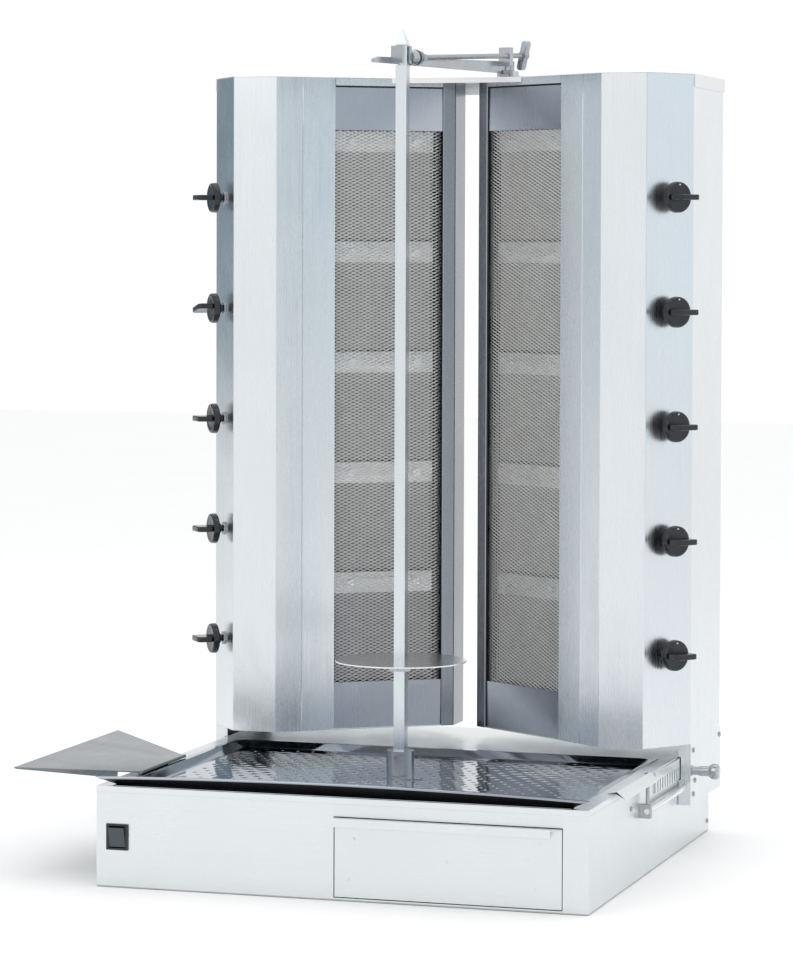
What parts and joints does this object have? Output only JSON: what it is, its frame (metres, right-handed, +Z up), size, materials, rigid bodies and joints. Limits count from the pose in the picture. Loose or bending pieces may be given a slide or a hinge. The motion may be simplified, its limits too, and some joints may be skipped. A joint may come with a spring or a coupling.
{
  "type": "vertical rotisserie oven",
  "caption": "Vertical gas rotisserie oven: motor-driven square spit on a drip-pan base, facing two sliding burner towers with knobs, roof, steady arm, drawer and side tray.",
  "frame": {"origin": "on the standing surface, straight under the spit axis", "axes": "+Z up along the spit, -Y towards the drawer side, +X to the right of a person facing the drawer"},
  "size_m": [0.8215, 0.7112, 1.1075],
  "materials": {
    "brushed_stainless": "brushed",
    "zinc_plate": "satin",
    "polished_stainless": "polished",
    "turned_steel": "turned",
    "fastener_steel": "satin",
    "black_plastic": "matte",
    "rocker_plastic": "gloss",
    "knob_black": "gloss",
    "burner_enamel": "matt",
    "ceramic": "matt",
    "mesh_steel": "satin",
    "gas_brass": "satin",
    "bearing_bronze": "satin",
    "cast_grey": "satin"
  },
  "bodies": {
    "base": {"base_shell": "brushed_stainless", "base_floor": "zinc_plate", "deck": "brushed_stainless", "drip_pan": "polished_stainless", "drawer_runners": "black_plastic", "gear_case": "cast_grey", "drive_motor": "cast_grey", "shaft_bearing": "bearing_bronze", "guide_rods": "polished_stainless", "rod_brackets": "zinc_plate", "index_comb": "brushed_stainless", "hook_rail": "brushed_stainless", "switch_bezel": "black_plastic", "cable_gland": "black_plastic", "base_screws": "fastener_steel"},
    "drawer": {"drawer_tray": "brushed_stainless", "drawer_front": "brushed_stainless"},
    "spit": {"drive_shaft": "turned_steel", "drive_gear": "turned_steel", "spit_socket": "turned_steel", "socket_screw": "fastener_steel", "spit_bar": "polished_stainless", "spit_disc": "polished_stainless", "disc_collar": "turned_steel"},
    "rotor": {"motor_pinion": "turned_steel"},
    "rocker": {"switch_rocker": "rocker_plastic"},
    "wing": {"wing_tray": "brushed_stainless"},
    "housing": {"right_casing": "brushed_stainless", "left_casing": "brushed_stainless", "tower_floors": "brushed_stainless", "roof": "brushed_stainless", "burner_bodies": "burner_enamel", "ceramic_tiles": "ceramic", "bolt_bands": "polished_stainless", "mesh_guards": "mesh_steel", "gas_manifolds": "gas_brass", "gas_valves": "gas_brass", "valve_nuts": "fastener_steel", "right_pedestal": "brushed_stainless", "left_pedestal": "brushed_stainless", "pedestal_screws": "fastener_steel", "plunger_sleeve": "turned_steel", "plunger_spring": "fastener_steel", "slide_rail": "turned_steel"},
    "plunger": {"index_plunger": "turned_steel"},
    "steady_slide": {"top_slide": "turned_steel", "arm_pivot_bolt": "fastener_steel"},
    "steady_arm": {"top_arm": "turned_steel", "bearing_block": "turned_steel"},
    "clamp": {"clamp_screw": "turned_steel"},
    "right_knob_1": {"right_knob_1": "knob_black"},
    "right_knob_2": {"right_knob_2": "knob_black"},
    "right_knob_3": {"right_knob_3": "knob_black"},
    "right_knob_4": {"right_knob_4": "knob_black"},
    "right_knob_5": {"right_knob_5": "knob_black"},
    "left_knob_1": {"left_knob_1": "knob_black"},
    "left_knob_2": {"left_knob_2": "knob_black"},
    "left_knob_3": {"left_knob_3": "knob_black"},
    "left_knob_4": {"left_knob_4": "knob_black"},
    "left_knob_5": {"left_knob_5": "knob_black"}
  },
  "joints": [
    {"name": "spit_spin", "type": "hinge", "parent": "base", "child": "spit", "pos_m": [0, 0, 0], "axis": [0, 0, 1], "continuous": true},
    {"name": "rotor_spin", "type": "hinge", "parent": "base", "child": "rotor", "pos_m": [-0.0625, 0, 0], "axis": [0, 0, 1], "continuous": true},
    {"name": "housing_slide", "type": "slide", "parent": "base", "child": "housing", "axis": [0, -1, 0], "range_m": [0, 0.112]},
    {"name": "steady_follow", "type": "slide", "parent": "housing", "child": "steady_slide", "axis": [0, 1, 0], "range_m": [0, 0.112]},
    {"name": "arm_swing", "type": "hinge", "parent": "steady_slide", "child": "steady_arm", "pos_m": [0.06712, 0.27413, 1.07], "axis": [0, 0, -1], "range_deg": [0, 90]},
    {"name": "clamp_turn", "type": "hinge", "parent": "steady_arm", "child": "clamp", "pos_m": [0, 0, 1.0689], "axis": [0.2836, 0.9573, 0.0558], "range_deg": [-360, 360]},
    {"name": "plunger_lock", "type": "slide", "parent": "housing", "child": "plunger", "axis": [-1, 0, 0], "range_m": [0, 0.008], "deforming": ["plunger_spring"]},
    {"name": "drawer_pull", "type": "slide", "parent": "base", "child": "drawer", "axis": [0, -1, 0], "range_m": [0, 0.16]},
    {"name": "rocker_tilt", "type": "hinge", "parent": "base", "child": "rocker", "pos_m": [-0.29615, -0.262, 0.06475], "axis": [-1, 0, 0], "range_deg": [0, 12]},
    {"name": "wing_tilt", "type": "hinge", "parent": "base", "child": "wing", "pos_m": [-0.303, 0, 0.1334], "axis": [0, 1, 0], "range_deg": [0, 40]},
    {"name": "right_knob_1_turn", "type": "hinge", "parent": "housing", "child": "right_knob_1", "pos_m": [0.31755, 0.1885, 0.2725], "axis": [0.7997, -0.6004, 0], "range_deg": [0, 180]},
    {"name": "right_knob_2_turn", "type": "hinge", "parent": "housing", "child": "right_knob_2", "pos_m": [0.31755, 0.1885, 0.4263], "axis": [0.7997, -0.6004, 0], "range_deg": [0, 180]},
    {"name": "right_knob_3_turn", "type": "hinge", "parent": "housing", "child": "right_knob_3", "pos_m": [0.31755, 0.1885, 0.5801], "axis": [0.7997, -0.6004, 0], "range_deg": [0, 180]},
    {"name": "right_knob_4_turn", "type": "hinge", "parent": "housing", "child": "right_knob_4", "pos_m": [0.31755, 0.1885, 0.7339], "axis": [0.7997, -0.6004, 0], "range_deg": [0, 180]},
    {"name": "right_knob_5_turn", "type": "hinge", "parent": "housing", "child": "right_knob_5", "pos_m": [0.31755, 0.1885, 0.8877], "axis": [0.7997, -0.6004, 0], "range_deg": [0, 180]},
    {"name": "left_knob_1_turn", "type": "hinge", "parent": "housing", "child": "left_knob_1", "pos_m": [-0.31755, 0.1885, 0.2725], "axis": [-0.7997, -0.6004, 0], "range_deg": [0, 180]},
    {"name": "left_knob_2_turn", "type": "hinge", "parent": "housing", "child": "left_knob_2", "pos_m": [-0.31755, 0.1885, 0.4263], "axis": [-0.7997, -0.6004, 0], "range_deg": [0, 180]},
    {"name": "left_knob_3_turn", "type": "hinge", "parent": "housing", "child": "left_knob_3", "pos_m": [-0.31755, 0.1885, 0.5801], "axis": [-0.7997, -0.6004, 0], "range_deg": [0, 180]},
    {"name": "left_knob_4_turn", "type": "hinge", "parent": "housing", "child": "left_knob_4", "pos_m": [-0.31755, 0.1885, 0.7339], "axis": [-0.7997, -0.6004, 0], "range_deg": [0, 180]},
    {"name": "left_knob_5_turn", "type": "hinge", "parent": "housing", "child": "left_knob_5", "pos_m": [-0.31755, 0.1885, 0.8877], "axis": [-0.7997, -0.6004, 0], "range_deg": [0, 180]}
  ],
  "couplings": [
    {"joint": "rotor_spin", "follows": "spit_spin", "ratio": -4},
    {"joint": "steady_follow", "follows": "housing_slide", "ratio": 1}
  ]
}
